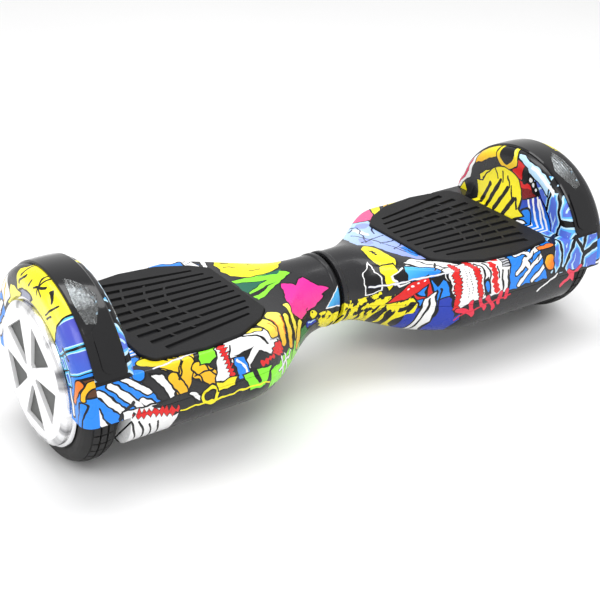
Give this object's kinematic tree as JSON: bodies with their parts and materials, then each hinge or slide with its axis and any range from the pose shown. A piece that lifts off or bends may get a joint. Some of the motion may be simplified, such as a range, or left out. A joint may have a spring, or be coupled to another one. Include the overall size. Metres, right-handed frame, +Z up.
{
  "type": "self balancing hoverboard",
  "caption": "Two-wheeled self balancing board: two twisting halves with footpads, fenders over hub motor wheels and bold abstract print.",
  "frame": {"origin": "on the ground, midway between the wheels", "axes": "+X along the wheel axle towards the half with the charge socket, -Y to the front, +Z up"},
  "size_m": [0.584, 0.1806, 0.1755],
  "materials": {
    "printed_shell": "gloss, printed all over",
    "lower_print": "gloss, printed all over",
    "gloss_black": "gloss",
    "clear_lens": "clear",
    "lamp_board": "satin",
    "pad_rubber": "matt",
    "black_plastic": "matt",
    "circuit_board": "satin",
    "cast_aluminium": "cast",
    "steel": "brushed",
    "copper": "wound",
    "tyre_rubber": "matt",
    "motor_grey": "satin",
    "bright_rim": "polished",
    "hub_white": "gloss",
    "bronze": "satin",
    "battery_wrap": "satin",
    "red_button": "gloss"
  },
  "bodies": {
    "right_half": {"right_upper_shell": "printed_shell", "right_lower_shell": "lower_print", "right_fender_trim": "gloss_black", "right_light_lens": "clear_lens", "right_light_board": "lamp_board", "right_gyro_board": "circuit_board", "right_chassis": "cast_aluminium", "right_axle_clamp": "cast_aluminium", "right_clamp_bolts": "steel", "right_shell_screws": "steel", "right_motor_axle": "steel", "right_stator": "copper", "pivot_shaft": "steel", "shaft_sleeve": "steel", "pivot_circlip": "steel", "neck_seal": "black_plastic", "battery_pack": "battery_wrap", "battery_bracket": "steel", "charge_port": "black_plastic", "button_housing": "black_plastic"},
    "left_half": {"left_upper_shell": "printed_shell", "left_lower_shell": "lower_print", "left_fender_trim": "gloss_black", "left_light_lens": "clear_lens", "left_light_board": "lamp_board", "left_gyro_board": "circuit_board", "left_chassis": "cast_aluminium", "left_axle_clamp": "cast_aluminium", "left_clamp_bolts": "steel", "left_shell_screws": "steel", "left_motor_axle": "steel", "left_stator": "copper", "pivot_bushes": "bronze", "control_board": "circuit_board"},
    "power_button": {"power_button": "red_button"},
    "right_wheel": {"right_tyre": "tyre_rubber", "right_rotor_can": "motor_grey", "right_rim_ring": "bright_rim", "right_magnet_ring": "steel", "right_hub_cover": "hub_white", "right_inner_cover": "motor_grey", "right_wheel_bearings": "steel"},
    "right_pad": {"right_footpad": "pad_rubber", "right_pad_plungers": "black_plastic"},
    "left_wheel": {"left_tyre": "tyre_rubber", "left_rotor_can": "motor_grey", "left_rim_ring": "bright_rim", "left_magnet_ring": "steel", "left_hub_cover": "hub_white", "left_inner_cover": "motor_grey", "left_wheel_bearings": "steel"},
    "left_pad": {"left_footpad": "pad_rubber", "left_pad_plungers": "black_plastic"}
  },
  "joints": [
    {"name": "pivot_twist", "type": "hinge", "parent": "right_half", "child": "left_half", "pos_m": [0, 0, 0.0825], "axis": [1, 0, 0], "range_deg": [-12, 12]},
    {"name": "power_push", "type": "slide", "parent": "right_half", "child": "power_button", "axis": [0, -0.809, 0.5878], "range_m": [0, 0.001], "stiffness_N_per_m": 600, "springref_m": -0.0006},
    {"name": "right_wheel_spin", "type": "hinge", "parent": "right_half", "child": "right_wheel", "pos_m": [0.265, 0, 0.0825], "axis": [1, 0, 0], "continuous": true},
    {"name": "right_pad_press", "type": "slide", "parent": "right_half", "child": "right_pad", "axis": [0, 0, -1], "range_m": [0, 0.0015], "stiffness_N_per_m": 8000, "springref_m": -0.0006},
    {"name": "left_wheel_spin", "type": "hinge", "parent": "left_half", "child": "left_wheel", "pos_m": [-0.265, 0, 0.0825], "axis": [1, 0, 0], "continuous": true},
    {"name": "left_pad_press", "type": "slide", "parent": "left_half", "child": "left_pad", "axis": [0, 0, -1], "range_m": [0, 0.0015], "stiffness_N_per_m": 8000, "springref_m": -0.0006}
  ]
}
